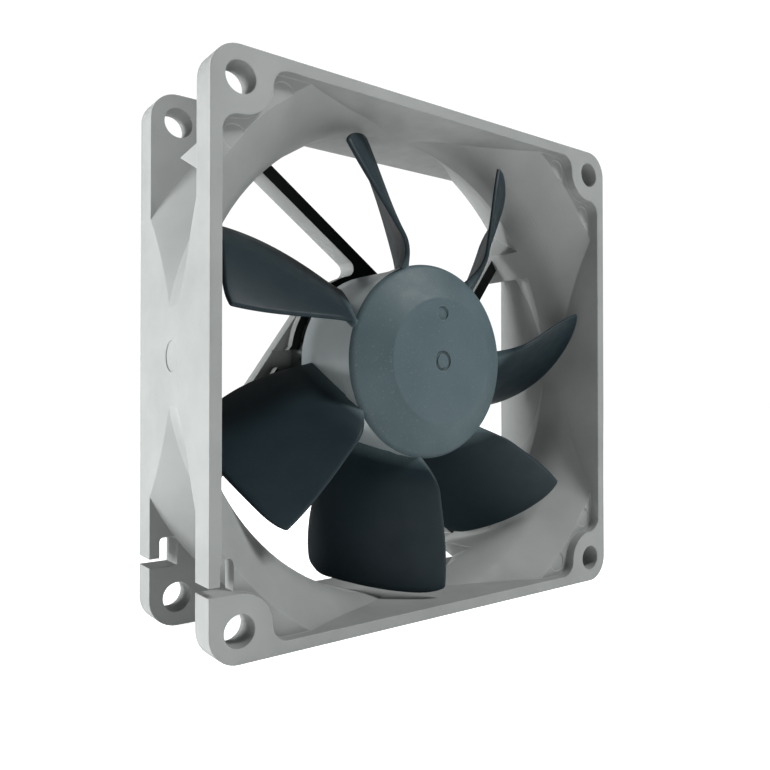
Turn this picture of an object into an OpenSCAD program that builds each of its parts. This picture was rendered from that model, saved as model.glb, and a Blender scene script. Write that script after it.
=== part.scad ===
// Case fan, 80 mm: a square ducted axial fan with a seven-blade impeller and a brushless motor.
// It stands upright on its lower edge. X is across, Y runs front to rear along the air flow, Z is up.
// The origin is at the middle of the bottom of the frame. Depths are measured back from the front face.

/* [Frame] */
// Outer width and height of the square frame
frame_size = 80; // [80:0.5:82]
// Depth of the frame, front face to rear face
frame_depth = 25; // [25:0.5:27]
// Radius of the frame's outer corners
corner_r = 4.2; // [3:0.1:5]
// Thickness of the front and the rear flange
flange_t = 4.2; // [3.5:0.1:4.6]
// Width of the raised rim along the four sides
rim_w = 1.7; // [1.4:0.1:2]
// Depth of the recess behind the front rim
recess_depth = 1.7; // [1:0.1:2.2]
// Radius of the bell mouth where it meets the recess, and of the outlet at the rear face
bell_r = 45.2; // [44:0.1:45.6]
// Radius of the throat that the blades turn in
throat_r = 38.4; // [38.2:0.1:38.6]
// Depth at which the throat begins
throat_front = 11.5; // [10.5:0.5:12.5]
// Depth at which the throat ends and the outlet opens
throat_rear = 13.5; // [13:0.5:15]
// Thickness of the duct wall
duct_wall = 2.2; // [1.8:0.1:2.4]

/* [Screw holes] */
// Distance between screw holes, along X and along Z
hole_pitch = 71.5; // [71:0.1:72]
// Diameter of the screw holes
hole_d = 4.4; // [4.2:0.1:4.5]
// Radius of the raised boss around each front screw hole
boss_r = 4.8; // [4.4:0.1:5]
// Radius of the inward curve between a boss and the rim
boss_fillet = 2.5; // [2:0.1:3]

/* [Struts and motor base] */
// Width of a strut
strut_w = 2.2; // [2:0.1:3]
// Distance from the fan axis to the middle line of a strut
strut_offset = 13.5; // [13:0.1:14]
// Direction of the upper right strut, in degrees above +X
strut_angle = 54.2; // [50:0.1:58]
// Depth of the front edge of the struts and of the motor cup
strut_front = 20.9; // [20.7:0.1:21.2]
// Outer radius of the cup that holds the motor
base_r = 16.2; // [16:0.1:16.8]
// Thickness of the wall and the floor of that cup
base_wall = 1.4; // [1.2:0.1:1.6]

/* [Impeller] */
// Number of blades
blade_count = 7; // [5:1:9]
// Radius of the blade tips
tip_r = 37.3; // [36.8:0.1:37.6]
// Outer radius of the hub
hub_r = 15.7; // [15.4:0.1:15.8]
// Radius of the flat disc in the middle of the hub
hub_disc_r = 10; // [9:0.1:11]
// Depth of that disc
hub_front = 0.9; // [0.6:0.1:1.2]
// Depth of the edge between the sloping ring and the hub's side
hub_edge = 4.2; // [3.8:0.1:4.4]
// Depth of the open rear edge of the hub
hub_rear = 18.7; // [18.4:0.1:18.7]
// Thickness of the hub's wall
hub_wall = 1.5; // [1.4:0.1:1.6]
// Thickness of a blade at the middle of its width
blade_t = 1.2; // [1:0.1:1.6]
// Height of the curve of a blade's section at the tip, as a part of its width; the root is flat
blade_camber = 0.08; // [0.03:0.01:0.1]

/* [Shaft and bearing] */
// Diameter of the steel shaft
shaft_d = 3; // [3:0.1:3.2]
// Running clearance between shaft and bearing, on the radius
shaft_play = 0.02; // [0.01:0.01:0.05]
// Outer radius of the sintered bearing
bearing_r = 3.6; // [3.4:0.1:3.7]
// Outer radius of the brass tube that holds the bearing
tube_r = 4.4; // [4.3:0.1:4.6]

/* [Motor] */
// Outer radius of the steel laminations
core_r = 11.3; // [11:0.1:11.4]
// Number of laminations in the stack
lamination_count = 8; // [6:1:10]
// Thickness of one lamination with its varnish
lamination_pitch = 0.5; // [0.35:0.05:0.55]
// Radius of the circuit board
board_r = 14.4; // [14:0.1:14.6]
// Thickness of the circuit board
board_t = 1.2; // [1:0.1:1.6]

/* [Hidden] */

$fn = 96;
quarter_turns = [0:90:270];
overcut = 1;
overlap = 1;
fit_gap = 0.05;

frame_half = frame_size / 2;
inner_half = frame_half - rim_w;
hole_half = hole_pitch / 2;

// Centre of the inward curve between a boss and the upper rim
fillet_z = inner_half - boss_fillet;
fillet_x = hole_half - sqrt(pow(boss_r + boss_fillet, 2) - pow(fillet_z - hole_half, 2));

// Cable retention slots, cut in the lower left corner of both flanges
slot_w = 2.7;
slot_h = 4.3;
slot_lip = 1.5;
slot_round = 0.6;
slit_h = 1.3;
slot_bottom = -(hole_half - boss_r);

// Round marks that the moulding pins leave, on the floor of the recess and on the duct's sides
pin_mark_r = 1.7;
side_mark_r = 2.2;
mark_depth = 0.12;

// Small triangular rib behind the upper left corner of the front flange
rib_w = 4;
rib_inset = 0.2;
rib_d = 6;
rib_top = 27.6;
rib_tip = 27;
rib_bottom = 24;

// Rounded shoulder between the sloping bell mouth and the throat
shoulder_r = 7;
shoulder_steps = 8;

// Motor cup, and the seats inside it
base_inner_r = base_r - base_wall;
base_bevel = 0.7;
base_bevel_depth = 1.8;
base_floor = frame_depth - base_wall;
tube_seat_r = 5.9;
post_r = 1.3;
post_ring_r = 13.2;
post_angles = [50, 170, 290];
wire_gap_w = 4.2;
wire_gap_depth = 2.2;
plug_r = 3;
label_r = 14.2;
label_t = 0.15;

// Struts: each ends in a pad that carries the throat's wall on to the rear face, and the lower
// left one has a ledge for the cable
strut_reach = 39.4;
strut_fillet = 1.5;
pad_from = -17;
pad_to = -11.7;
ledge_w = 1.6;
ledge_front = 22.6;

// Hub: bevel round the disc, step in the side wall, marks on the disc, core that holds the shaft
disc_bevel = 0.6;
disc_bevel_depth = 0.35;
edge_round = 0.5;
hub_step_depth = 6.9;
hub_step = 0.2;
centre_mark_r = 1.65;
centre_core_r = 1.05;
gate_mark_r = 1.15;
gate_mark_height = 7.6;
hub_mark_depth = 0.3;
hub_roof = 2.5;
hub_shoulder_r = 10.2;
hub_core_r = 4.4;
hub_core_rear = 7.8;

// Blade laws. q runs from 0 at the hub to 1 at the tip, and u from 0 at the front edge to 1 at
// the rear edge. Angles are in degrees above +X, seen from the front.
front_angle_root = 6.6;
front_angle_gain = 19;
front_angle_curve = -10;
wrap_root = 30;
wrap_gain = 7.3;
wrap_curve = -13.8;
front_depth_min = 0.6;
front_depth_gain = 2;
root_round = 3.6;
root_zone = 0.24;
rear_depth_root = 15.9;
rear_depth_gain = 9.1;
rear_depth_curve = -5.7;
edge_ratio = 0.5;
root_flare = 0.8;
root_flare_zone = 0.14;
front_corner = 1;
front_corner_part = 0.2;
rear_corner = 2.5;
rear_corner_part = 0.12;
blade_embed = 0.7;
blade_rows = 13;
blade_columns = 12;

// Shaft, its bushing and its clip
shaft_r = shaft_d / 2;
shaft_front = 3.2;
shaft_rear = 22.4;
shaft_chamfer = 0.4;
bushing_r = 2.7;
bushing_front = 2.9;
groove_front = 20.7;
groove_w = 0.6;
groove_r = 1.1;
clip_r = 2.5;
clip_t = 0.4;
clip_gap = 1.2;

// Bearing tube and what it holds
tube_front = 8.6;
bearing_front = 9.8;
bearing_rear = 20.3;
bearing_chamfer = 0.4;
seal_t = 0.5;
seal_r = 1.8;
pad_front = 22.5;

// Rotor steel and magnet
yoke_front = 5.6;
yoke_rear = 17.2;
yoke_wall = 0.8;
yoke_r = hub_r - hub_wall - fit_gap;
magnet_wall = 1.5;
magnet_front = 7;
magnet_rear = 16.6;
magnet_r = yoke_r - yoke_wall;

// Stator
core_front = 9.6;
core_rear = core_front + lamination_count * lamination_pitch;
core_middle = (core_front + core_rear) / 2;
varnish = 0.03;
core_ring_r = 6.3;
pole_w = 3;
shoe_t = 1.3;
shoe_angle = 78;
first_pole = 45;
insulator_t = 0.5;
collar_h = 1.5;
collar_outer_r = 6.8;
guard_outer_r = 10.3;
guard_inner_r = 9.6;
guard_angle = 52;
coil_from = 6.9;
coil_to = 8.9;
coil_t = 1.3;

// Circuit board, and the heights and places of what is soldered to it
board_front = 19;
board_rear = board_front + board_t;
board_hole_r = tube_r + 0.2;
pin_r = 0.35;
pin_ring_r = 9.95;
first_pin = 23;
pin_tail = 0.7;
lead_w = 0.45;
lead_t = 0.25;
chip_place = [0, -10.3];
capacitor_place = [9.7, 0];
capacitor_r = 2.1;
capacitor_h = 3;
diode_place = [-10.2, -0.6];
resistor_places = [[-3.6, 11.4], [0, 11.8], [3.6, 11.4]];
hall_place = [0, 11.6];
wire_joint_ring_r = 12.6;
wire_joint_angles = [168, 176, 184, 192];

// ---- places ----

// Local x is X, local y is Z and local z points out of the front; its zero is at the given depth.
module facing_front(depth) {
    translate([0, depth - frame_depth / 2, frame_half])
        rotate([90, 0, 0])
            children();
}

// A flat outline, seen from the front, made solid between two depths.
module slab(from, to) {
    facing_front(to)
        linear_extrude(to - from)
            children();
}

// A profile of radius against depth, turned about the fan axis.
module turned() {
    translate([0, -frame_depth / 2, frame_half])
        rotate([-90, 0, 0])
            rotate_extrude()
                children();
}

// Turns a solid about the fan axis, anticlockwise as seen from the front.
module about_axis(angle) {
    translate([0, 0, frame_half])
        rotate([0, -angle, 0])
            translate([0, 0, -frame_half])
                children();
}

module ring(outer_r, inner_r) {
    difference() {
        circle(outer_r);
        circle(inner_r);
    }
}

module tube(outer_r, inner_r, from, to) {
    slab(from, to) ring(outer_r, inner_r);
}

module disc(r, from, to) {
    slab(from, to) circle(r);
}

// A wedge of the plane, centred on +x, to cut sectors out of rings.
module wedge(angle, reach) {
    polygon([[0, 0], reach * [cos(angle / 2), -sin(angle / 2)], [reach, 0],
             reach * [cos(angle / 2), sin(angle / 2)]]);
}

module sector(outer_r, inner_r, angle) {
    intersection() {
        ring(outer_r, inner_r);
        wedge(angle, 2 * outer_r);
    }
}

module block(place, size) {
    translate(place) square(size, center = true);
}

module rounded_box_outline(w, h, r) {
    square([w, h - 2 * r], center = true);
    square([w - 2 * r, h], center = true);
    for (sx = [-1, 1], sy = [-1, 1])
        translate([sx * (w / 2 - r), sy * (h / 2 - r)]) circle(r);
}

// ---- frame ----

module screw_holes() {
    for (sx = [-1, 1], sy = [-1, 1])
        translate([sx, sy] * hole_half) circle(hole_d / 2);
}

// The raised corner around the upper right screw hole.
module boss_corner() {
    translate([hole_half, hole_half]) circle(boss_r);
    for (side = [0, 1])
        mirror([side, -side, 0])
            difference() {
                translate([fillet_x, fillet_z])
                    square([frame_half - fillet_x, frame_half - fillet_z]);
                translate([fillet_x, fillet_z]) circle(boss_fillet);
            }
}

module recess_outline() {
    difference() {
        square(2 * inner_half, center = true);
        for (a = quarter_turns)
            rotate(a) boss_corner();
        translate([-frame_half, -frame_half])
            square([frame_half - hole_half, frame_half + slot_bottom]);
    }
}

module cable_slot() {
    translate([-frame_half + slot_lip + slot_w / 2, slot_bottom + slot_h / 2])
        rounded_box_outline(slot_w, slot_h, slot_round);
    translate([-frame_half - overcut, slot_bottom])
        square([overcut + slot_lip + slot_w, slit_h]);
}

module flange_outline() {
    difference() {
        rounded_box_outline(frame_size, frame_size, corner_r);
        screw_holes();
        cable_slot();
    }
}

// Radius against depth of the air passage, wider by extra, open past both faces.
function passage(extra) =
    let (rise = bell_r - throat_r,
         drop = throat_front - recess_depth,
         turn = atan2(drop, shoulder_r - rise) - acos(shoulder_r / norm([drop, shoulder_r - rise])))
    concat([[0, -overcut], [bell_r + extra, -overcut], [bell_r + extra, recess_depth]],
           [for (i = [0:shoulder_steps])
               let (a = turn * (1 - i / shoulder_steps))
               [throat_r + extra + shoulder_r * (1 - cos(a)), throat_front - shoulder_r * sin(a)]],
           [[throat_r + extra, throat_rear], [bell_r + extra, frame_depth],
            [bell_r + extra, frame_depth + overcut], [0, frame_depth + overcut]]);

module duct() {
    intersection() {
        turned() polygon(passage(duct_wall));
        slab(0, frame_depth) rounded_box_outline(frame_size, frame_size, corner_r);
    }
}

module passage_cut() {
    intersection() {
        turned() polygon(passage(0));
        slab(-overcut, frame_depth + overcut) square(2 * inner_half, center = true);
    }
}

module rib() {
    translate([-frame_half + rib_inset, -frame_depth / 2, frame_half])
        rotate([90, 0, 90])
            linear_extrude(rib_w)
                polygon([[flange_t - overlap, rib_top], [flange_t, rib_top],
                         [flange_t + rib_d, rib_tip], [flange_t, rib_bottom],
                         [flange_t - overlap, rib_bottom]]);
}

module housing() {
    difference() {
        union() {
            slab(0, flange_t) flange_outline();
            slab(frame_depth - flange_t, frame_depth) flange_outline();
            duct();
            rib();
        }
        passage_cut();
        slab(-overcut, recess_depth) recess_outline();
        for (a = quarter_turns, side = [0, 1])
            if (a != 180)
                slab(recess_depth - overcut, recess_depth + mark_depth)
                    rotate(a) mirror([side, -side, 0])
                        translate([fillet_x, fillet_z]) circle(pin_mark_r);
        for (side = [-1, 1])
            translate([side * frame_half, 0, frame_half])
                rotate([0, 90, 0])
                    cylinder(h = 2 * mark_depth, r = side_mark_r, center = true);
    }
}

// A strut, seen from the front, with +x along the first strut and the fan axis at the origin.
module strut_outline() {
    inner_edge = strut_offset - strut_w / 2;
    curve = [sqrt(pow(base_r + strut_fillet - fit_gap, 2) - pow(inner_edge - strut_fillet, 2)),
             strut_fillet - inner_edge];
    translate([0, -strut_offset - strut_w / 2])
        square([strut_reach, strut_w]);
    difference() {
        polygon([[0, -inner_edge - fit_gap], [curve[0], -inner_edge - fit_gap], curve,
                 curve * (base_r - overlap) / norm(curve)]);
        translate(curve) circle(strut_fillet);
    }
}

module pad_outline() {
    difference() {
        translate([0, pad_from]) square([frame_half + corner_r, pad_to - pad_from]);
        circle(throat_r);
    }
}

module struts() {
    intersection() {
        union() {
            for (a = quarter_turns) {
                slab(strut_front, frame_depth) rotate(strut_angle + a) strut_outline();
                slab(throat_rear, frame_depth) rotate(strut_angle + a) pad_outline();
            }
            slab(ledge_front, frame_depth)
                rotate(strut_angle + 180)
                    translate([0, -strut_offset - strut_w / 2 - ledge_w])
                        square([strut_reach, ledge_w + strut_w / 2]);
        }
        turned() polygon(passage(duct_wall / 2));
        slab(0, frame_depth) square(2 * inner_half + rim_w, center = true);
    }
}

module motor_cup() {
    difference() {
        union() {
            struts();
            turned()
                polygon([[0, strut_front], [base_r, strut_front],
                         [base_r, frame_depth - base_bevel_depth], [base_r - base_bevel, frame_depth],
                         [0, frame_depth]]);
        }
        disc(base_inner_r, strut_front - overcut, base_floor);
        disc(plug_r, base_floor - overcut, frame_depth + overcut);
        disc(label_r, frame_depth - label_t, frame_depth + overcut);
        slab(strut_front - overcut, strut_front + wire_gap_depth)
            translate([-base_r, 0]) square([2 * (base_wall + overcut), wire_gap_w], center = true);
    }
    tube(tube_seat_r, tube_r, board_rear, base_floor);
    for (a = post_angles)
        slab(board_rear, base_floor) rotate(a) translate([post_ring_r, 0]) circle(post_r);
}

module frame() {
    color([0.68, 0.70, 0.69])
        difference() {
            union() {
                housing();
                motor_cup();
            }
            slab(-overcut, flange_t) cable_slot();
            slab(frame_depth - flange_t, frame_depth + overcut) cable_slot();
        }
}

// ---- impeller ----

function front_angle(q) = front_angle_root + front_angle_gain * q + front_angle_curve * q * q;
function wrap(q) = wrap_root + wrap_gain * q + wrap_curve * q * q;
function root_curve(q) = root_round * pow(max(0, 1 - q / root_zone), 2);
function front_depth(q) = front_depth_min + front_depth_gain * q * q + root_curve(q);
function rear_depth(q) = rear_depth_root + rear_depth_gain * q + rear_depth_curve * q * q;

// How far a rounded tip corner pulls the tip inward, at a part v of the corner's width.
function corner_drop(v, corner) = v >= 1 ? 0 : corner * (1 - sqrt(1 - pow(1 - v, 2)));
function tip_at(u) = tip_r - corner_drop(u / front_corner_part, front_corner)
    - corner_drop((1 - u) / rear_corner_part, rear_corner);
function thickness(u, q) = blade_t * (edge_ratio + (1 - edge_ratio) * sqrt(sin(180 * u)))
    * (1 + root_flare * pow(max(0, 1 - q / root_flare_zone), 2));

// A point of the blade: side is 1 on the front face and -1 on the rear face.
function blade_point(u, s, side) =
    let (root = hub_r - blade_embed,
         r = root + (tip_at(u) - root) * s,
         q = max(0, (r - hub_r) / (tip_r - hub_r)),
         width = r * wrap(q) * PI / 180,
         depth = rear_depth(q) - front_depth(q),
         chord = norm([width, depth]),
         lift = 4 * blade_camber * q * chord * u * (1 - u) + side * thickness(u, q) / 2,
         along = -u * width - lift * depth / chord,
         angle = front_angle(q) + along / r * 180 / PI)
    [r * cos(angle), front_depth(q) + u * depth - lift * width / chord, r * sin(angle)];

// Closer columns towards the blade's edges.
function column_u(j) = (1 - cos(180 * j / blade_columns)) / 2;

function blade_face(side) = [for (i = [0:blade_rows], j = [0:blade_columns])
    blade_point(column_u(j), i / blade_rows, side)];

module blade() {
    n = blade_columns + 1;
    last = (blade_rows + 1) * n;
    cells = [for (i = [0:blade_rows - 1], j = [0:blade_columns - 1]) i * n + j];
    front = [for (k = cells, t = [0, 1]) t == 0 ? [k, k + n + 1, k + 1] : [k, k + n, k + n + 1]];
    rear = [for (f = front) [f[2] + last, f[1] + last, f[0] + last]];
    rim = concat([for (j = [0:blade_columns]) j],
                 [for (i = [1:blade_rows]) i * n + blade_columns],
                 [for (j = [blade_columns - 1:-1:0]) blade_rows * n + j],
                 [for (i = [blade_rows - 1:-1:1]) i * n]);
    count = len(rim);
    edge = [for (k = [0:count - 1], t = [0, 1])
        let (a = rim[k], b = rim[(k + 1) % count])
        t == 0 ? [b, a + last, a] : [b, b + last, a + last]];
    translate([0, -frame_depth / 2, frame_half])
        polyhedron(points = concat(blade_face(1), blade_face(-1)), faces = concat(front, rear, edge));
}

module hub_body() {
    difference() {
        turned()
            polygon([[0, hub_front], [hub_disc_r, hub_front],
                     [hub_disc_r + disc_bevel, hub_front + disc_bevel_depth],
                     [hub_r - edge_round, hub_edge - edge_round], [hub_r, hub_edge],
                     [hub_r, hub_step_depth], [hub_r - hub_step, hub_step_depth],
                     [hub_r - hub_step, hub_rear], [hub_r - hub_wall, hub_rear],
                     [hub_r - hub_wall, yoke_front], [hub_shoulder_r, hub_roof],
                     [hub_core_r, hub_roof], [hub_core_r, hub_core_rear],
                     [bushing_r, hub_core_rear], [bushing_r, bushing_front], [0, bushing_front]]);
        tube(centre_mark_r, centre_core_r, hub_front - overcut, hub_front + hub_mark_depth);
        slab(hub_front - overcut, hub_front + hub_mark_depth)
            translate([0, gate_mark_height]) circle(gate_mark_r);
    }
}

module impeller() {
    color([0.26, 0.32, 0.34]) {
        hub_body();
        for (i = [0:blade_count - 1])
            about_axis(360 / blade_count * i) blade();
    }
}

// ---- turning parts inside the hub ----

module shaft_bushing() {
    color([0.78, 0.62, 0.30])
        tube(bushing_r, shaft_r, shaft_front, hub_core_rear);
}

module rotor_shaft() {
    color([0.75, 0.76, 0.78])
        turned()
            polygon([[0, shaft_front], [shaft_r, shaft_front], [shaft_r, groove_front],
                     [groove_r, groove_front], [groove_r, groove_front + groove_w],
                     [shaft_r, groove_front + groove_w], [shaft_r, shaft_rear - shaft_chamfer],
                     [shaft_r - shaft_chamfer, shaft_rear], [0, shaft_rear]]);
}

module rotor_yoke() {
    color([0.62, 0.63, 0.64])
        turned()
            polygon([[hub_core_r + fit_gap, yoke_front + fit_gap], [yoke_r, yoke_front + fit_gap],
                     [yoke_r, yoke_rear], [magnet_r, yoke_rear],
                     [magnet_r, yoke_front + yoke_wall], [hub_core_r + fit_gap, yoke_front + yoke_wall]]);
}

module ring_magnet() {
    color([0.22, 0.21, 0.20])
        tube(magnet_r, magnet_r - magnet_wall, magnet_front, magnet_rear);
}

module retaining_clip() {
    clip_front = groove_front + (groove_w - clip_t) / 2;
    color([0.92, 0.90, 0.84])
        slab(clip_front, clip_front + clip_t)
            difference() {
                ring(clip_r, groove_r + fit_gap);
                translate([0, -clip_gap / 2]) square([clip_r + overcut, clip_gap]);
            }
}

// ---- bearing ----

module bearing_tube() {
    color([0.80, 0.65, 0.33])
        tube(tube_r, bearing_r, tube_front, base_floor);
}

module sleeve_bearing() {
    bore_r = shaft_r + shaft_play;
    color([0.58, 0.42, 0.24])
        turned()
            polygon([[bore_r, bearing_front], [bearing_r - bearing_chamfer, bearing_front],
                     [bearing_r, bearing_front + bearing_chamfer],
                     [bearing_r, bearing_rear - bearing_chamfer],
                     [bearing_r - bearing_chamfer, bearing_rear], [bore_r, bearing_rear]]);
}

module oil_seal_ring() {
    color([0.93, 0.93, 0.90])
        tube(bearing_r, seal_r, bearing_front - seal_t - fit_gap, bearing_front - fit_gap);
}

module thrust_pad() {
    color([0.90, 0.88, 0.80])
        disc(bearing_r, pad_front, base_floor);
}

module bearing_plug() {
    color([0.15, 0.15, 0.16])
        disc(plug_r, base_floor, frame_depth - label_t);
}

// ---- stator ----

module at_poles() {
    for (a = quarter_turns)
        rotate(first_pole + a) children();
}

module core_outline() {
    ring(core_ring_r, tube_r);
    at_poles() {
        translate([core_ring_r - overlap, -pole_w / 2])
            square([core_r - shoe_t / 2 - core_ring_r + overlap, pole_w]);
        sector(core_r, core_r - shoe_t, shoe_angle);
    }
}

module stator_core() {
    color([0.50, 0.51, 0.53])
        for (i = [0:lamination_count - 1])
            slab(core_front + i * lamination_pitch, core_front + (i + 1) * lamination_pitch - varnish)
                core_outline();
}

// The end plate of an insulator, and the walls that keep the coils in place.
module insulator_plate() {
    ring(collar_outer_r, tube_r);
    at_poles() {
        translate([core_ring_r - overlap, -pole_w / 2 - insulator_t])
            square([guard_outer_r - core_ring_r + overlap, pole_w + 2 * insulator_t]);
        sector(guard_outer_r, guard_inner_r, guard_angle);
    }
}

module insulator_walls() {
    ring(collar_outer_r, core_ring_r);
    at_poles() sector(guard_outer_r, guard_inner_r, guard_angle);
}

module insulator_cheeks() {
    at_poles()
        for (side = [-1, 1])
            block([(collar_outer_r + guard_inner_r) / 2, side * (pole_w + insulator_t) / 2],
                  [guard_inner_r - collar_outer_r, insulator_t]);
}

module front_insulator() {
    color([0.90, 0.89, 0.82]) {
        slab(core_front - insulator_t - collar_h, core_front - insulator_t) insulator_walls();
        slab(core_front - insulator_t, core_front) insulator_plate();
        slab(core_front - insulator_t, core_middle - varnish) insulator_cheeks();
    }
}

module rear_insulator() {
    color([0.90, 0.89, 0.82]) {
        slab(core_rear + insulator_t, core_rear + insulator_t + collar_h) insulator_walls();
        slab(core_rear, core_rear + insulator_t) insulator_plate();
        slab(core_middle + varnish, core_rear + insulator_t) insulator_cheeks();
    }
}

// A coil is wound round its pole arm, between the collar and the guard.
module coil(index) {
    w = pole_w + 2 * insulator_t + 2 * fit_gap;
    h = core_rear - core_front + 2 * insulator_t + 2 * fit_gap;
    color([0.72, 0.36, 0.16])
        about_axis(first_pole + 90 * index)
            translate([coil_from, core_middle - frame_depth / 2, frame_half])
                rotate([90, 0, 90])
                    linear_extrude(coil_to - coil_from)
                        difference() {
                            rounded_box_outline(h + 2 * coil_t, w + 2 * coil_t, coil_t);
                            square([h, w], center = true);
                        }
}

module coil_upper_right() {
    coil(0);
}

module coil_upper_left() {
    coil(1);
}

module coil_lower_left() {
    coil(2);
}

module coil_lower_right() {
    coil(3);
}

// ---- circuit board ----

module pin_circles() {
    for (a = quarter_turns)
        rotate(first_pin + a) translate([pin_ring_r, 0]) circle(pin_r);
}

module terminal_pins() {
    color([0.80, 0.80, 0.78])
        slab(core_rear + insulator_t + collar_h, board_rear + pin_tail)
            pin_circles();
}

module circuit_board() {
    color([0.10, 0.34, 0.20])
        slab(board_front, board_rear)
            difference() {
                circle(board_r);
                circle(board_hole_r);
                pin_circles();
            }
}

module hall_sensor() {
    body = [4, 3];
    body_h = 1.1;
    lead_pitch = 1.27;
    color([0.12, 0.12, 0.13])
        slab(board_front - body_h, board_front) block(hall_place, body);
    color([0.80, 0.80, 0.78])
        for (i = [-1:1])
            slab(board_front - lead_t, board_front)
                block(hall_place + [i * lead_pitch, -body[1] / 2 - lead_w], [lead_w, 2 * lead_w]);
}

module driver_chip() {
    body = [4.9, 3.9];
    standoff = 0.15;
    body_h = 1.45;
    lead_pitch = 1.27;
    lead_reach = 0.95;
    color([0.11, 0.11, 0.12])
        slab(board_rear + standoff, board_rear + standoff + body_h)
            block(chip_place, body);
    color([0.80, 0.80, 0.78])
        for (side = [-1, 1], i = [0:3])
            slab(board_rear, board_rear + standoff + body_h / 2)
                block(chip_place + [(i - 1.5) * lead_pitch, side * (body[1] + lead_reach) / 2],
                      [lead_w, lead_reach]);
}

module filter_capacitor() {
    base_h = 0.5;
    base_side = 4.3;
    color([0.12, 0.12, 0.13])
        slab(board_rear, board_rear + base_h)
            translate(capacitor_place) square(base_side, center = true);
    color([0.80, 0.81, 0.82])
        slab(board_rear + base_h, board_rear + capacitor_h)
            translate(capacitor_place) circle(capacitor_r);
}

module chip_resistors() {
    body = [2, 1.25];
    body_h = 0.55;
    cap_w = 0.35;
    for (place = resistor_places) {
        color([0.12, 0.12, 0.13])
            slab(board_rear, board_rear + body_h)
                block(place, [body[0] - 2 * cap_w, body[1]]);
        color([0.80, 0.80, 0.78])
            for (side = [-1, 1])
                slab(board_rear, board_rear + body_h)
                    block(place + [side * (body[0] - cap_w) / 2, 0], [cap_w, body[1]]);
    }
}

module blocking_diode() {
    body = [2.6, 4.3];
    body_h = 2.1;
    tab = [1.4, 0.5];
    color([0.13, 0.13, 0.14])
        slab(board_rear, board_rear + body_h)
            block(diode_place, body);
    color([0.80, 0.80, 0.78])
        for (side = [-1, 1])
            slab(board_rear, board_rear + body_h / 2)
                block(diode_place + [0, side * (body[1] + tab[1]) / 2], tab);
}

module solder_joints() {
    joint_h = 0.6;
    joint_r = 0.8;
    joint_tip_r = 0.35;
    color([0.82, 0.82, 0.83])
        for (a = wire_joint_angles)
            facing_front(board_front)
                rotate(a) translate([wire_joint_ring_r, 0])
                    cylinder(h = joint_h, r1 = joint_r, r2 = joint_tip_r);
}

module rear_label() {
    color([0.86, 0.87, 0.87])
        disc(label_r - 2 * fit_gap, frame_depth - label_t, frame_depth);
}

frame();
impeller();
shaft_bushing();
rotor_shaft();
rotor_yoke();
ring_magnet();
retaining_clip();
bearing_tube();
sleeve_bearing();
oil_seal_ring();
thrust_pad();
bearing_plug();
stator_core();
front_insulator();
rear_insulator();
coil_upper_right();
coil_upper_left();
coil_lower_left();
coil_lower_right();
terminal_pins();
circuit_board();
hall_sensor();
driver_chip();
filter_capacitor();
chip_resistors();
blocking_diode();
solder_joints();
rear_label();
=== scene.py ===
"""Looks for the 80 mm case fan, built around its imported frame.

Lengths below are in millimetres unless a name says otherwise, and MM turns them into metres. X is across,
Y runs front to rear along the air flow, Z is up, and the fan stands on the floor at Z = 0. Depths are
measured back from the front face.
"""
import math

import bmesh
import bpy
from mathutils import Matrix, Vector


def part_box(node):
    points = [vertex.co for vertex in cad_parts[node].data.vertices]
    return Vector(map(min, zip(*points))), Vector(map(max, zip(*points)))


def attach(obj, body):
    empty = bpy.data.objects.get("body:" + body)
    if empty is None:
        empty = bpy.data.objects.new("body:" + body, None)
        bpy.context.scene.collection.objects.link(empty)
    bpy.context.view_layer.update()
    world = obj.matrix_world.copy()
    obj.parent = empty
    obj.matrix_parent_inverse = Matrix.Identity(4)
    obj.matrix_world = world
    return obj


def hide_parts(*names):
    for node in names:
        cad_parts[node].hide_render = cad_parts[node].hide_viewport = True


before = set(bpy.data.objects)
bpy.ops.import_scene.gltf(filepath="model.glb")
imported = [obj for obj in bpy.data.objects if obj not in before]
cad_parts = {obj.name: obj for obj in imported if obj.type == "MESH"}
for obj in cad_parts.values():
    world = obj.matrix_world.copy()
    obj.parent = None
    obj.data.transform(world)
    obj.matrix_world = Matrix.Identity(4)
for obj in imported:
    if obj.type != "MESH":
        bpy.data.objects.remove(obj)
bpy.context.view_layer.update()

MM = 0.001
UM = 1e-6

frame_low, frame_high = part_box("frame")
CENTRE = (frame_low + frame_high) / 2
FRONT_Y = frame_low.y
AXIS_Z = CENTRE.z


# ---- camera, floor and light ----

CAMERA_PLACE = Vector((-79.3, -100.1, 34.7)) * MM
CAMERA_YAW = 37.4
CAMERA_PITCH = 0.7
CAMERA_LENS = 34.9


def make_camera():
    camera = bpy.data.objects.new("camera", bpy.data.cameras.new("camera"))
    camera.data.lens = CAMERA_LENS
    camera.data.clip_start = 1 * MM
    camera.location = CAMERA_PLACE
    camera.rotation_euler = (math.radians(90 + CAMERA_PITCH), 0, math.radians(-CAMERA_YAW))
    bpy.context.collection.objects.link(camera)
    bpy.context.scene.camera = camera


def softbox(name, place, size, power):
    """A square white area light that faces the middle of the fan. Place and size are in metres."""
    light = bpy.data.lights.new(name, "AREA")
    light.energy = power
    light.size = size
    lamp = bpy.data.objects.new(name, light)
    lamp.location = place
    lamp.rotation_euler = (CENTRE - Vector(place)).to_track_quat("-Z", "Y").to_euler()
    bpy.context.collection.objects.link(lamp)


# Brightness of the studio in front of the fan and behind it, and of the backdrop as the camera sees it
AMBIENT_FRONT = 0.05
AMBIENT_REAR = 0.55
BACKDROP = 1.05

# The floor's side is in metres. It glows a little, so that it runs into the backdrop without a line.
FLOOR_SIZE = 6.0
FLOOR_GLOW = 0.72
FLOOR_ROUGHNESS = 0.9
FLOOR_SHADES = ((0.93, 0.93, 0.93), (0.96, 0.96, 0.96))


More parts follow.
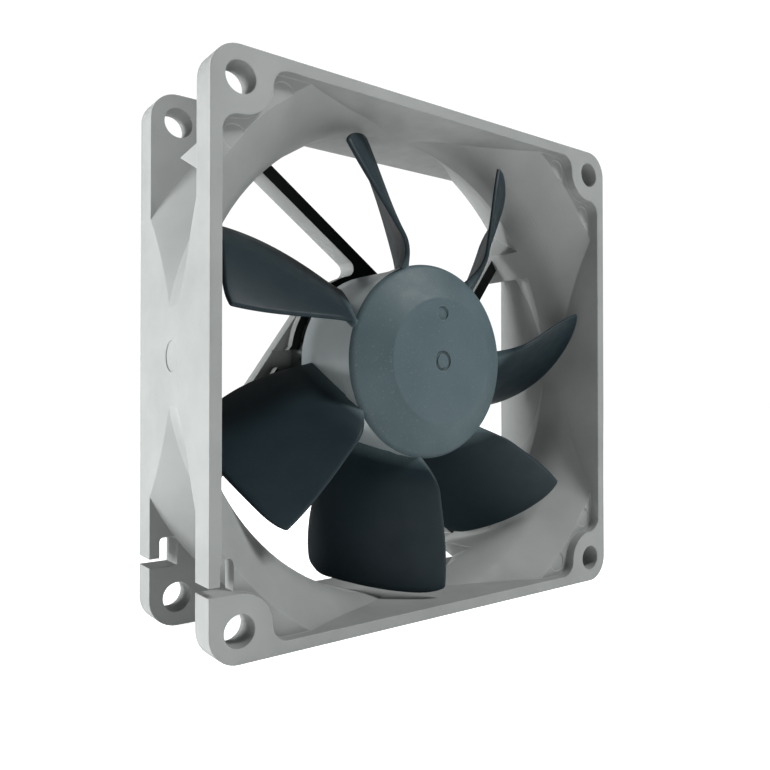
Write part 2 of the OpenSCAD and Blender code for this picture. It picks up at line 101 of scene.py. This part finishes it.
def make_world():
    """The camera sees a white backdrop; the fan is lit by a studio that is dim in front of it."""
    world = bpy.data.worlds.new("studio")
    world.use_nodes = True
    tree = world.node_tree
    background = tree.nodes["Background"]
    background.inputs["Color"].default_value = (1, 1, 1, 1)
    direction = add(tree, "TexCoord").outputs["Generated"]
    rearward = add(tree, "SeparateXYZ", {"Vector": direction}).outputs["Y"]
    ambient = spread(tree, rearward, AMBIENT_FRONT, AMBIENT_REAR, start=-1, end=1)
    seen = add(tree, "LightPath").outputs["Is Camera Ray"]
    strength = add(tree, "MapRange", {"Value": seen, "To Min": ambient, "To Max": BACKDROP})
    tree.links.new(strength.outputs["Result"], background.inputs["Strength"])
    bpy.context.scene.world = world
    bpy.context.scene.view_settings.view_transform = "Standard"


def make_floor():
    """A plain pale floor at Z = 0."""
    mesh = bpy.data.meshes.new("floor")
    half = FLOOR_SIZE / 2
    mesh.from_pydata([(-half, -half, 0), (half, -half, 0), (half, half, 0), (-half, half, 0)], [],
                     [(0, 1, 2, 3)])
    floor = bpy.data.objects.new("floor", mesh)
    bpy.context.collection.objects.link(floor)
    material, tree, shader = new_material("floor_paper")
    shader.inputs["Roughness"].default_value = FLOOR_ROUGHNESS
    shader.inputs["Emission Color"].default_value = (1, 1, 1, 1)
    shader.inputs["Emission Strength"].default_value = FLOOR_GLOW
    shade = ramp(tree, noise(tree, size=2, detail=4), *FLOOR_SHADES)
    tree.links.new(shade, shader.inputs["Base Color"])
    mesh.materials.append(material)


# ---- shader building blocks ----

def feed(tree, socket, value):
    """Joins an input to another node's output, or sets it to a plain value."""
    if isinstance(value, bpy.types.NodeSocket):
        tree.links.new(value, socket)
    else:
        socket.default_value = value


def add(tree, kind, inputs=None, **settings):
    """A shader node with its settings, and its inputs by name or number."""
    node = tree.nodes.new("ShaderNode" + kind)
    for name, value in settings.items():
        setattr(node, name, value)
    for name, value in (inputs or {}).items():
        feed(tree, node.inputs[name], value)
    return node


def new_material(name):
    material = bpy.data.materials.new(name)
    material.use_nodes = True
    return material, material.node_tree, material.node_tree.nodes["Principled BSDF"]


def object_place(tree):
    return add(tree, "TexCoord").outputs["Object"]


def noise(tree, size, detail=3, stretch=(1, 1, 1)):
    """Noise with features about size millimetres across; stretch makes them longer along an axis."""
    place = add(tree, "Mapping", {"Vector": object_place(tree), "Scale": [1 / s for s in stretch]})
    return add(tree, "TexNoise", {"Vector": place.outputs["Vector"], "Scale": 1 / (size * MM),
                                  "Detail": detail}).outputs["Fac"]


def math_node(tree, operation, *values):
    return add(tree, "Math", dict(enumerate(values)), operation=operation).outputs[0]


def ramp(tree, factor, low, high, start=0.3, end=0.7):
    """Blends from the colour low to the colour high as factor goes from start to end."""
    node = add(tree, "ValToRGB", {"Fac": factor})
    for element, position, colour in zip(node.color_ramp.elements, (start, end), (low, high)):
        element.position = position
        element.color = (*colour, 1)
    return node.outputs["Color"]


def mix(tree, factor, first, second):
    """Blends from the first colour to the second as factor goes from 0 to 1."""
    node = add(tree, "Mix", data_type="RGBA")
    colour_inputs = [socket for socket in node.inputs if socket.type == "RGBA"]
    for socket, value in zip((node.inputs[0], *colour_inputs), (factor, first, second)):
        feed(tree, socket, value)
    return next(socket for socket in node.outputs if socket.type == "RGBA")


def spread(tree, factor, low, high, start=0.3, end=0.7):
    """Maps factor from start..end to low..high, and holds it there outside."""
    return add(tree, "MapRange", {"Value": factor, "From Min": start, "From Max": end,
                                  "To Min": low, "To Max": high}).outputs["Result"]


def bump(tree, height, distance_um, normal=None):
    """A surface that stands out by distance_um micrometres where height is 1."""
    inputs = {"Height": height, "Distance": distance_um * UM, "Strength": 1}
    if normal is not None:
        inputs["Normal"] = normal
    return add(tree, "Bump", inputs).outputs["Normal"]


def rounded_normal(tree, radius):
    """The normal of a surface whose sharp edges are rounded to radius millimetres."""
    return add(tree, "Bevel", {"Radius": radius * MM}, samples=4).outputs["Normal"]


# The edge mask is full where the rounded normal agrees this little with the flat one, and ends here
EDGE_FULL = 0.72
EDGE_NONE = 0.995


def edge_mask(tree, rounded):
    """0 on flat faces, rising to 1 on the edges that the rounded normal softens."""
    flat = add(tree, "NewGeometry").outputs["Normal"]
    same = add(tree, "VectorMath", {0: rounded, 1: flat}, operation="DOT_PRODUCT").outputs["Value"]
    return spread(tree, same, low=1, high=0, start=EDGE_FULL, end=EDGE_NONE)


# ---- materials ----

# Rounding of the edges of the motor's small pieces
SMALL_EDGE = 0.1


def plastic(name, low, high, edge, roughness, grain, grain_um, edge_radius=0.25, fleck=None):
    """Moulded plastic: slow colour change, spark-eroded grain, lighter edges (partly rubbed wear, partly
    painted highlight), uneven gloss.
    """
    material, tree, shader = new_material(name)
    colour = ramp(tree, noise(tree, size=9, detail=5), low, high)
    if fleck:
        flecks = spread(tree, noise(tree, size=0.35, detail=2), low=0, high=0.6, start=0.62, end=0.74)
        colour = mix(tree, flecks, colour, (*fleck, 1))
    rounded = rounded_normal(tree, edge_radius)
    # Edges are lighter: partly rubbed wear, partly a painted highlight where edges catch the light
    wear_and_highlight_patches = spread(tree, noise(tree, size=1.5), low=0.35, high=1)
    edge_wear_and_highlight = math_node(tree, "MULTIPLY", edge_mask(tree, rounded), wear_and_highlight_patches)
    colour = mix(tree, edge_wear_and_highlight, colour, (*edge, 1))
    tree.links.new(colour, shader.inputs["Base Color"])
    gloss = spread(tree, noise(tree, size=3, detail=4), *roughness)
    tree.links.new(gloss, shader.inputs["Roughness"])
    height = noise(tree, size=grain, detail=4)
    tree.links.new(bump(tree, height, grain_um, rounded), shader.inputs["Normal"])
    return material, tree, shader, colour


def metal(name, low, high, roughness, size=0.6, stretch=(1, 1, 1), bump_um=1.5):
    """Bare metal with a rolled or turned surface, and small differences in tone."""
    material, tree, shader = new_material(name)
    shader.inputs["Metallic"].default_value = 1
    tone = ramp(tree, noise(tree, size=4, detail=4), low, high)
    tree.links.new(tone, shader.inputs["Base Color"])
    lines = noise(tree, size, detail=5, stretch=stretch)
    tree.links.new(spread(tree, lines, *roughness), shader.inputs["Roughness"])
    rounded = rounded_normal(tree, SMALL_EDGE)
    tree.links.new(bump(tree, lines, bump_um, rounded), shader.inputs["Normal"])
    return material


def axis_radius(tree):
    """Distance from the fan's axis, in metres."""
    moved = add(tree, "VectorMath", {0: object_place(tree), 1: (0, 0, AXIS_Z)}, operation="SUBTRACT")
    flat = add(tree, "VectorMath", {0: moved.outputs["Vector"], 1: (1, 0, 1)}, operation="MULTIPLY")
    return add(tree, "VectorMath", {0: flat.outputs["Vector"]}, operation="LENGTH").outputs["Value"]


def depth_here(tree):
    """Depth behind the front face, in metres."""
    y = add(tree, "SeparateXYZ", {"Vector": object_place(tree)}).outputs["Y"]
    return math_node(tree, "SUBTRACT", y, FRONT_Y)


# The front faces of the struts and of the motor cup get painted shade, nearly black, for the shade behind
# the rotor.
# They lie at this depth, within this distance of it, inside this radius, and face forward: their normal's Y
# is below this.
STRUT_FRONT = 20.9
DARK_FACE_BAND = 0.3
DARK_FACE_REACH = 38.3
DARK_FACE_NORMAL = -0.6
STRUT_FRONT_PAINTED_SHADE = (0.006, 0.007, 0.007, 1)


def strut_front_shade_mask(tree):
    """Where painted shade goes: 1 on the front faces of the struts and the motor cup, 0 elsewhere."""
    off = math_node(tree, "SUBTRACT", depth_here(tree), STRUT_FRONT * MM)
    near = math_node(tree, "LESS_THAN", math_node(tree, "ABSOLUTE", off), DARK_FACE_BAND * MM)
    normal = add(tree, "NewGeometry").outputs["True Normal"]
    facing = add(tree, "SeparateXYZ", {"Vector": normal}).outputs["Y"]
    forward = math_node(tree, "LESS_THAN", facing, DARK_FACE_NORMAL)
    inside = math_node(tree, "LESS_THAN", axis_radius(tree), DARK_FACE_REACH * MM)
    return math_node(tree, "MULTIPLY", math_node(tree, "MULTIPLY", near, forward), inside)


def frame_plastic():
    """Light grey plastic with a fine matt grain, and painted shade on the front faces of the struts and
    motor cup.
    """
    material, tree, shader, colour = plastic(
        "frame_plastic", low=(0.142, 0.150, 0.147), high=(0.166, 0.175, 0.171),
        edge=(0.24, 0.25, 0.245), roughness=(0.44, 0.56), grain=0.12, grain_um=5)
    # Painted shade: the front faces of the struts and motor cup are coloured nearly black
    tree.links.new(mix(tree, strut_front_shade_mask(tree), colour, STRUT_FRONT_PAINTED_SHADE), shader.inputs["Base Color"])
    shader.inputs["Specular IOR Level"].default_value = 0.12
    return material


# The blades get painted shade: this much of this colour, from a short way outside the hub
BLADE_PAINTED_SHADE_SHARE = 0.9
BLADE_PAINTED_SHADE = (0.001, 0.006, 0.009, 1)
BLADE_PAINTED_SHADE_FADE = 2


def impeller_plastic():
    """Slate plastic; the blades get painted shade, which makes them darker than the matt face of the hub.
    """
    material, tree, shader, colour = plastic(
        "impeller_plastic", low=(0.034, 0.052, 0.058), high=(0.043, 0.063, 0.070),
        edge=(0.12, 0.15, 0.16), roughness=(0.48, 0.60), grain=0.16, grain_um=10,
        edge_radius=0.2, fleck=(0.08, 0.105, 0.115))
    blade = spread(tree, axis_radius(tree), low=0, high=BLADE_PAINTED_SHADE_SHARE,
                   start=HUB_R * MM, end=(HUB_R + BLADE_PAINTED_SHADE_FADE) * MM)
    # Painted shade on the blades, growing outward from the hub's edge
    tree.links.new(mix(tree, blade, colour, BLADE_PAINTED_SHADE), shader.inputs["Base Color"])
    shader.inputs["Specular IOR Level"].default_value = 0.15
    return material


def hub_skirt_painted_sheen():
    """The hub's side is smoother than its face and mirrors what is round it; its lighter colour is a
    painted sheen.
    """
    material, tree, shader = new_material("hub_skirt_painted_sheen")
    shader.inputs["Metallic"].default_value = 0.4
    # Painted sheen: this base colour is far lighter than the slate plastic, standing in for reflected light
    tone = ramp(tree, noise(tree, size=9, detail=1), (0.26, 0.295, 0.30), (0.30, 0.335, 0.34))
    tree.links.new(tone, shader.inputs["Base Color"])
    gloss = spread(tree, noise(tree, size=4, detail=1), low=0.30, high=0.38)
    tree.links.new(gloss, shader.inputs["Roughness"])
    waves = bump(tree, noise(tree, size=12, detail=0), distance_um=5)
    tree.links.new(waves, shader.inputs["Normal"])
    return material


WIRE_PITCH = 0.25
WIRE_BUMP_UM = 60


def enamelled_wire():
    """Copper wire with clear enamel, wound turn beside turn, with painted shade in the grooves and painted
    highlight on the crests.
    """
    material, tree, shader = new_material("enamelled_wire")
    phase = math_node(tree, "MULTIPLY", axis_radius(tree), 2 * math.pi / (WIRE_PITCH * MM))
    turns = math_node(tree, "SINE", phase)
    # Painted shade and highlight: each turn is lighter on its crest and darker in the groove beside the
    # next
    tone = spread(tree, turns, low=0, high=1, start=-1, end=1)
    colour = ramp(tree, tone, (0.20, 0.06, 0.02), (0.62, 0.24, 0.09), start=0.1, end=0.8)
    tree.links.new(colour, shader.inputs["Base Color"])
    shader.inputs["Metallic"].default_value = 0.8
    shader.inputs["Coat Weight"].default_value = 0.5
    gloss = spread(tree, noise(tree, size=0.8), low=0.22, high=0.36)
    tree.links.new(gloss, shader.inputs["Roughness"])
    tree.links.new(bump(tree, turns, WIRE_BUMP_UM), shader.inputs["Normal"])
    return material


TRACK_PITCH = 3
TRACK_GAP = 0.06
TRACK_BUMP_UM = 30


def board_laminate():
    """Green solder mask over tracks that show as a slightly lighter, raised pattern."""
    material, tree, shader = new_material("board_laminate")
    tracks = add(tree, "TexBrick", {
        "Vector": object_place(tree), "Scale": 1 / (TRACK_PITCH * MM), "Mortar Size": TRACK_GAP,
        "Color1": (0, 0, 0, 1), "Color2": (0, 0, 0, 1), "Mortar": (1, 1, 1, 1)}).outputs["Fac"]
    mask = ramp(tree, noise(tree, size=2, detail=4), (0.010, 0.075, 0.035), (0.016, 0.10, 0.05))
    tree.links.new(mix(tree, tracks, mask, (0.03, 0.17, 0.08, 1)), shader.inputs["Base Color"])
    gloss = spread(tree, noise(tree, size=0.5), low=0.24, high=0.36)
    tree.links.new(gloss, shader.inputs["Roughness"])
    tree.links.new(bump(tree, tracks, TRACK_BUMP_UM), shader.inputs["Normal"])
    return material


def sintered(name, low, high, size, roughness, metallic, bump_um):
    """Pressed and sintered powder: grains of different tone with pores between them."""
    material, tree, shader = new_material(name)
    grains = add(tree, "TexVoronoi", {
        "Vector": object_place(tree), "Scale": 1 / (size * MM)}).outputs["Distance"]
    tone = ramp(tree, grains, high, low, start=0.1, end=0.9)
    tree.links.new(tone, shader.inputs["Base Color"])
    tree.links.new(spread(tree, noise(tree, size=1), *roughness), shader.inputs["Roughness"])
    shader.inputs["Metallic"].default_value = metallic
    rounded = rounded_normal(tree, SMALL_EDGE)
    tree.links.new(bump(tree, grains, bump_um, rounded), shader.inputs["Normal"])
    return material


def small_plastic(name, low, high, edge):
    """Plastic of the motor's small pieces, with a finer grain and sharper edges."""
    return plastic(name, low, high, edge, roughness=(0.35, 0.5), grain=0.1, grain_um=5,
                   edge_radius=SMALL_EDGE)[0]


METALS = {
    "brass_parts": dict(low=(0.62, 0.44, 0.16), high=(0.76, 0.56, 0.24), roughness=(0.2, 0.34),
                        stretch=(1, 8, 1)),
    "polished_steel": dict(low=(0.55, 0.56, 0.58), high=(0.64, 0.65, 0.67), roughness=(0.08, 0.16),
                           bump_um=0.5),
    "zinc_plated_steel": dict(low=(0.45, 0.47, 0.50), high=(0.60, 0.62, 0.64),
                              roughness=(0.25, 0.42), size=0.9),
    "silicon_steel": dict(low=(0.20, 0.21, 0.23), high=(0.32, 0.33, 0.35), roughness=(0.3, 0.5),
                          size=0.4, stretch=(4, 0.3, 4), bump_um=6),
    "tinned_metal": dict(low=(0.60, 0.61, 0.60), high=(0.76, 0.77, 0.76), roughness=(0.22, 0.38),
                         size=0.4, bump_um=3),
    "capacitor_can": dict(low=(0.62, 0.64, 0.66), high=(0.74, 0.75, 0.77), roughness=(0.2, 0.32),
                          stretch=(6, 1, 6)),
    "label_foil": dict(low=(0.33, 0.34, 0.35), high=(0.36, 0.37, 0.38), roughness=(0.40, 0.46),
                       size=0.3, stretch=(12, 1, 1), bump_um=1),
}
SINTERED = {
    "bonded_ferrite": dict(low=(0.018, 0.017, 0.016), high=(0.05, 0.047, 0.044), size=0.12,
                           roughness=(0.5, 0.7), metallic=0, bump_um=8),
    "sintered_bronze": dict(low=(0.24, 0.13, 0.05), high=(0.46, 0.28, 0.12), size=0.09,
                            roughness=(0.35, 0.5), metallic=0.9, bump_um=6),
}
SMALL_PLASTICS = {
    "white_nylon": dict(low=(0.72, 0.70, 0.64), high=(0.80, 0.78, 0.72), edge=(0.9, 0.88, 0.84)),
    "black_plastic": dict(low=(0.010, 0.010, 0.011), high=(0.020, 0.020, 0.021),
                          edge=(0.07, 0.07, 0.07)),
    "insulator_nylon": dict(low=(0.66, 0.64, 0.52), high=(0.76, 0.74, 0.62),
                            edge=(0.86, 0.84, 0.76)),
}


def make_materials():
    """One material for each of the frame's material slots, by the slot's name."""
    made = {"frame_plastic": frame_plastic(), "impeller_plastic": impeller_plastic(),
            "enamelled_wire": enamelled_wire(), "board_laminate": board_laminate()}
    for family, looks in ((metal, METALS), (sintered, SINTERED), (small_plastic, SMALL_PLASTICS)):
        made.update({name: family(name, **look) for name, look in looks.items()})
    return made


def finish_nodes(made):
    """Gives each CAD node's material slots the procedural material of the same name."""
    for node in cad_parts.values():
        for slot in node.material_slots:
            slot.material = made[slot.material.name.split(".")[0]]


# ---- impeller: the CAD's hub profile and blade laws, at a finer step and with rounded edges ----

BLADES = 7
TIP_R = 37.3

# Outside of the hub: a flat disc, a narrow rim down to the sloped ring, the edge, a step, the skirt
HUB_R = 15.7
HUB_DISC_R = 10
HUB_FRONT = 0.9
HUB_EDGE = 4.2
HUB_STEP_DEPTH = 6.9
HUB_STEP = 0.2
HUB_REAR = 18.7
HUB_REAR_BEVEL = 0.2
RIM_W = 0.6
RIM_DROP = 0.35

# Rounding of those corners: how far each curve reaches to either side of its corner
DISC_BEND = 0.2
RIM_BEND = (0.12, 0.07)
RIM_BEND_STEPS = 3
EDGE_INSET = 0.5
EDGE_BEND = 0.25
EDGE_CORNER = 0.05
EDGE_REACH = 0.35
STEP_START = 0.1
STEP_INSET = 0.06
STEP_END = 0.05

# Inside of the hub
HUB_INNER_R = 14.2
HUB_SHOULDER_R = 10.2
HUB_SHOULDER_DEPTH = 5.6
HUB_ROOF = 2.5
HUB_CORE_R = 4.4
HUB_CORE_REAR = 7.8
BUSHING_R = 2.7
BUSHING_FRONT = 2.9

# Moulding marks in the hub's face: a ring in the middle, and a round gate mark above it
MARK_DEPTH = 0.3
RING_MARK_INNER_R = 1.05
RING_MARK_OUTER_R = 1.65
GATE_MARK_R = 1.15
GATE_MARK_HEIGHT = 7.6
GATE_TOOL_FRONT = 0.1

# Sides of a full turn
HUB_TURNS = 240
GATE_TURNS = 48


def on_axis(radius, degrees, depth):
    """The point, in metres, at a radius and depth in millimetres and an angle above +X in degrees."""
    a = math.radians(degrees)
    return Vector((radius * MM * math.cos(a), FRONT_Y + depth * MM, AXIS_Z + radius * MM * math.sin(a)))


def bend(start, corner, end, steps=5):
    """A quadratic curve that rounds the corner between two points of a profile."""
    points = []
    for i in range(steps + 1):
        t = i / steps
        points.append([(1 - t) ** 2 * a + 2 * t * (1 - t) * b + t ** 2 * c
                       for a, b, c in zip(start, corner, end)])
    return points


def hub_profile():
    """Radius and depth, from the middle of the front face round to the hub's inside."""
    mark_floor = HUB_FRONT + MARK_DEPTH
    ring_mark = [(RING_MARK_INNER_R, HUB_FRONT), (RING_MARK_INNER_R, mark_floor),
                 (RING_MARK_OUTER_R, mark_floor), (RING_MARK_OUTER_R, HUB_FRONT)]
    rim_r, rim_depth = HUB_DISC_R + RIM_W, HUB_FRONT + RIM_DROP
    slope = ((HUB_EDGE - EDGE_INSET) - rim_depth) / ((HUB_R - EDGE_INSET) - rim_r)
    bend_r, bend_depth = RIM_BEND
    disc_corner = bend((HUB_DISC_R - DISC_BEND, HUB_FRONT), (HUB_DISC_R, HUB_FRONT),
                       (HUB_DISC_R + bend_r, HUB_FRONT + bend_depth), RIM_BEND_STEPS)
    rim_corner = bend((rim_r - bend_r, rim_depth - bend_depth), (rim_r, rim_depth),
                      (rim_r + DISC_BEND, rim_depth + DISC_BEND * slope), RIM_BEND_STEPS)
    edge_corner = bend(
        (HUB_R - (EDGE_INSET + EDGE_BEND), HUB_EDGE - EDGE_INSET - EDGE_BEND * slope),
        (HUB_R - EDGE_CORNER, HUB_EDGE - EDGE_BEND), (HUB_R, HUB_EDGE + EDGE_REACH))
    skirt_r = HUB_R - HUB_STEP
    skirt = [(HUB_R, HUB_STEP_DEPTH - STEP_START), (HUB_R - STEP_INSET, HUB_STEP_DEPTH),
             (skirt_r, HUB_STEP_DEPTH + STEP_END), (skirt_r, HUB_REAR - HUB_REAR_BEVEL),
             (skirt_r - HUB_REAR_BEVEL, HUB_REAR)]
    inside = [(HUB_INNER_R, HUB_REAR), (HUB_INNER_R, HUB_SHOULDER_DEPTH),
              (HUB_SHOULDER_R, HUB_ROOF), (HUB_CORE_R, HUB_ROOF), (HUB_CORE_R, HUB_CORE_REAR),
              (BUSHING_R, HUB_CORE_REAR), (BUSHING_R, BUSHING_FRONT), (0, BUSHING_FRONT)]
    return ([(0, HUB_FRONT)] + ring_mark + disc_corner + rim_corner + edge_corner + skirt
            + inside)


# Points closer than this, in metres, are one point
JOIN_WITHIN = 1e-8


def new_object(name, mesh):
    made = bpy.data.objects.new(name, mesh)
    bpy.context.collection.objects.link(made)
    return made


def clean_solid(mesh):
    """Joins points that fall together, and turns every face outward."""
    work = bmesh.new()
    work.from_mesh(mesh)
    bmesh.ops.remove_doubles(work, verts=work.verts, dist=JOIN_WITHIN)
    bmesh.ops.recalc_face_normals(work, faces=work.faces)
    work.to_mesh(mesh)
    work.free()


def turned(name, profile, turns):
    """A closed solid from a profile that starts and ends on the axis."""
    ends = (profile[0], profile[-1])
    body = profile[1:-1]
    points = [on_axis(r, 360 * k / turns, d) for k in range(turns) for r, d in body]
    points += [on_axis(r, 0, d) for r, d in ends]
    count = len(body)
    faces = []
    for k in range(turns):
        here, there = k * count, (k + 1) % turns * count
        faces += [(here + i, here + i + 1, there + i + 1, there + i) for i in range(count - 1)]
        faces += [(len(points) - 2, here, there),
                  (here + count - 1, len(points) - 1, there + count - 1)]
    mesh = bpy.data.meshes.new(name)
    mesh.from_pydata(points, [], faces)
    clean_solid(mesh)
    return mesh


# Blade laws: the angle and depth of the front edge, how far the blade wraps round the axis, and the depth
# of the rear edge. q is 0 at the hub and 1 at the tip circle, and each law is (a, b, c) in a + b q + c q q.
FRONT_ANGLE = (6.6, 19, -10)
WRAP = (30, 7.3, -13.8)
FRONT_DEPTH = (0.6, 0, 2)
REAR_DEPTH = (15.9, 9.1, -5.7)

# Near the hub the front edge curves back, and the blade grows thicker, over these parts of q
ROOT_ROUND = 3.6
ROOT_ZONE = 0.24
ROOT_FLARE = 0.8
ROOT_FLARE_ZONE = 0.14

# The tip's corners: how far each pulls the tip inward, over which part of the blade's width
FRONT_CORNER = 1
FRONT_CORNER_PART = 0.2
REAR_CORNER = 2.5
REAR_CORNER_PART = 0.12

# Thickness, its share at the front and rear edges, edge rounding, the blade's hollow at the tip as a
# share of its chord, and how far its root reaches into the hub
BLADE_T = 1.2
EDGE_SHARE = 0.5
EDGE_R = 0.3
CAMBER = 0.08
BLADE_EMBED = 0.7


def law(coefficients, q):
    """The value at q of one of the laws above."""
    a, b, c = coefficients
    return a + b * q + c * q * q


def front_depth(q):
    return law(FRONT_DEPTH, q) + ROOT_ROUND * max(0, 1 - q / ROOT_ZONE) ** 2


def corner_drop(v, corner):
    """How far a rounded corner pulls the tip inward, at a part v of the corner's width."""
    return 0 if v >= 1 else corner * (1 - math.sqrt(1 - (1 - v) ** 2))


def tip_at(u):
    """The tip's radius at a part u of the blade's width."""
    return (TIP_R - corner_drop(u / FRONT_CORNER_PART, FRONT_CORNER)
            - corner_drop((1 - u) / REAR_CORNER_PART, REAR_CORNER))


def blade_thickness(u, q):
    flare = 1 + ROOT_FLARE * max(0, 1 - q / ROOT_FLARE_ZONE) ** 2
    belly = math.sqrt(max(0, math.sin(math.pi * u)))
    return BLADE_T * (EDGE_SHARE + (1 - EDGE_SHARE) * belly) * flare


def edge_round(distance):
    """How much of its thickness a blade has at a distance inside its outline."""
    d = max(0, min(1, distance / EDGE_R))
    return math.sqrt(1 - (1 - d) ** 2)


def blade_point(u, s, side):
    """A point of the blade's face on the front side (1) or the rear side (-1).

    u goes from the front edge to the rear edge, s from the root to the tip.
    """
    root = HUB_R - BLADE_EMBED
    tip = tip_at(u)
    r = root + (tip - root) * s
    q = max(0, (r - HUB_R) / (TIP_R - HUB_R))
    width = math.radians(law(WRAP, q)) * r
    depth = law(REAR_DEPTH, q) - front_depth(q)
    chord = math.hypot(width, depth)
    rounding = edge_round(min(u, 1 - u) * chord) * edge_round(tip - r)
    lift = 4 * CAMBER * q * chord * u * (1 - u) + side * blade_thickness(u, q) * rounding / 2
    along = -u * width - lift * depth / chord
    return on_axis(r, law(FRONT_ANGLE, q) + math.degrees(along / r),
                   front_depth(q) + u * depth - lift * width / chord)


# Steps of the blade's grid: close ones in a zone at each rounded edge, even ones between
EDGE_STEPS = 4
WIDTH_ZONE = 0.018
WIDTH_STEPS = 26
TIP_ZONE = 0.014
SPAN_STEPS = 34


def edge_steps(zone):
    """Steps from 0, closest together at 0, that leave room for the next one at zone."""
    return [zone * (1 - math.cos(math.pi / 2 * i / EDGE_STEPS)) for i in range(EDGE_STEPS)]


def blade_grid():
    """The parts of the blade's width, and of its span, at which its surface has points."""
    near, tip = edge_steps(WIDTH_ZONE), edge_steps(TIP_ZONE)
    even = [WIDTH_ZONE + (1 - WIDTH_ZONE - WIDTH_ZONE) * i / WIDTH_STEPS
            for i in range(WIDTH_STEPS + 1)]
    across = near + even + [1 - step for step in reversed(near)]
    along = [(1 - TIP_ZONE) * i / SPAN_STEPS for i in range(SPAN_STEPS + 1)]
    return across, along + [1 - step for step in reversed(tip)]


def blade_mesh():
    """One blade as a closed solid: its sides meet at the edges and the tip, a strip closes the root."""
    across, along = blade_grid()
    n = len(across)
    layer = n * len(along)
    points = [blade_point(u, s, side) for side in (1, -1) for s in along for u in across]
    faces = []
    for i in range(len(along) - 1):
        for j in range(n - 1):
            k = i * n + j
            faces.append((k, k + n, k + n + 1, k + 1))
            faces.append((k + layer + 1, k + layer + n + 1, k + layer + n, k + layer))
    faces += [(j, j + 1, j + 1 + layer, j + layer) for j in range(n - 1)]
    mesh = bpy.data.meshes.new("blade")
    mesh.from_pydata(points, [], faces)
    clean_solid(mesh)
    return mesh


def combine(target, tool, operation):
    """Applies one boolean to target and removes the tool."""
    step = target.modifiers.new(operation, "BOOLEAN")
    step.operation = operation
    step.solver = "EXACT"
    step.object = tool
    bpy.context.view_layer.update()
    made = bpy.data.meshes.new_from_object(
        target.evaluated_get(bpy.context.evaluated_depsgraph_get()))
    target.modifiers.clear()
    target.data = made
    bpy.data.objects.remove(tool)


def cut_gate_mark(impeller):
    """The round mark above the middle of the hub's face."""
    floor = HUB_FRONT + MARK_DEPTH
    profile = [(0, GATE_TOOL_FRONT), (GATE_MARK_R, GATE_TOOL_FRONT), (GATE_MARK_R, floor), (0, floor)]
    tool = new_object("gate_tool", turned("gate", profile, GATE_TURNS))
    tool.location.z = GATE_MARK_HEIGHT * MM
    combine(impeller, tool, "DIFFERENCE")


def join_blades(impeller):
    """All blades, each turned on from the one before."""
    shape = blade_mesh()
    for k in range(BLADES):
        turn = 2 * math.pi * k / BLADES
        copy = shape.copy()
        for vertex in copy.vertices:
            x, y, z = vertex.co.x, vertex.co.y, vertex.co.z - AXIS_Z
            vertex.co = (x * math.cos(turn) - z * math.sin(turn), y,
                         AXIS_Z + x * math.sin(turn) + z * math.cos(turn))
        combine(impeller, new_object("blade_tool", copy), "UNION")


# The skirt's faces lie between these radii and depths, and face away from the axis: the Y of their
# normal is below this. Edges sharper than SHARP_ANGLE stay sharp in the shading.
SKIRT_R = (HUB_R - HUB_STEP - 0.1, HUB_R + 0.01)
SKIRT_DEPTH = (HUB_EDGE + 0.3, HUB_REAR - 0.1)
SKIRT_NORMAL = 0.3
SHARP_ANGLE = 38


def on_skirt(face):
    r = math.hypot(face.center.x, face.center.z - AXIS_Z) / MM
    depth = (face.center.y - FRONT_Y) / MM
    return (SKIRT_R[0] < r < SKIRT_R[1] and SKIRT_DEPTH[0] < depth < SKIRT_DEPTH[1]
            and abs(face.normal.y) < SKIRT_NORMAL)


def finish_impeller(mesh, plastic_material, skirt_material):
    """Gives the skirt its own material, and the true normals of a round surface."""
    mesh.materials.clear()
    mesh.materials.append(plastic_material)
    mesh.materials.append(skirt_material)
    for face in mesh.polygons:
        face.use_smooth = True
        face.material_index = 1 if on_skirt(face) else 0
    mesh.set_sharp_from_angle(angle=math.radians(SHARP_ANGLE))
    normals = [corner.vector.copy() for corner in mesh.corner_normals]
    for face in mesh.polygons:
        if face.material_index == 1:
            for loop in face.loop_indices:
                place = mesh.vertices[mesh.loops[loop].vertex_index].co
                normals[loop] = Vector((place.x, 0, place.z - AXIS_Z)).normalized()
    mesh.normals_split_custom_set(normals)


def make_impeller(plastic_material, skirt_material):
    impeller = new_object("impeller_moulding", turned("hub", hub_profile(), HUB_TURNS))
    cut_gate_mark(impeller)
    join_blades(impeller)
    finish_impeller(impeller.data, plastic_material, skirt_material)
    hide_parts("impeller")
    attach(impeller, "rotor")


make_camera()
make_world()
make_floor()
softbox("key", place=(0.25, -0.44, 0.60), size=0.20, power=8.0)
softbox("side", place=(-0.52, 0.10, 0.08), size=0.24, power=7.8)

materials = make_materials()
finish_nodes(materials)
make_impeller(materials["impeller_plastic"], hub_skirt_painted_sheen())
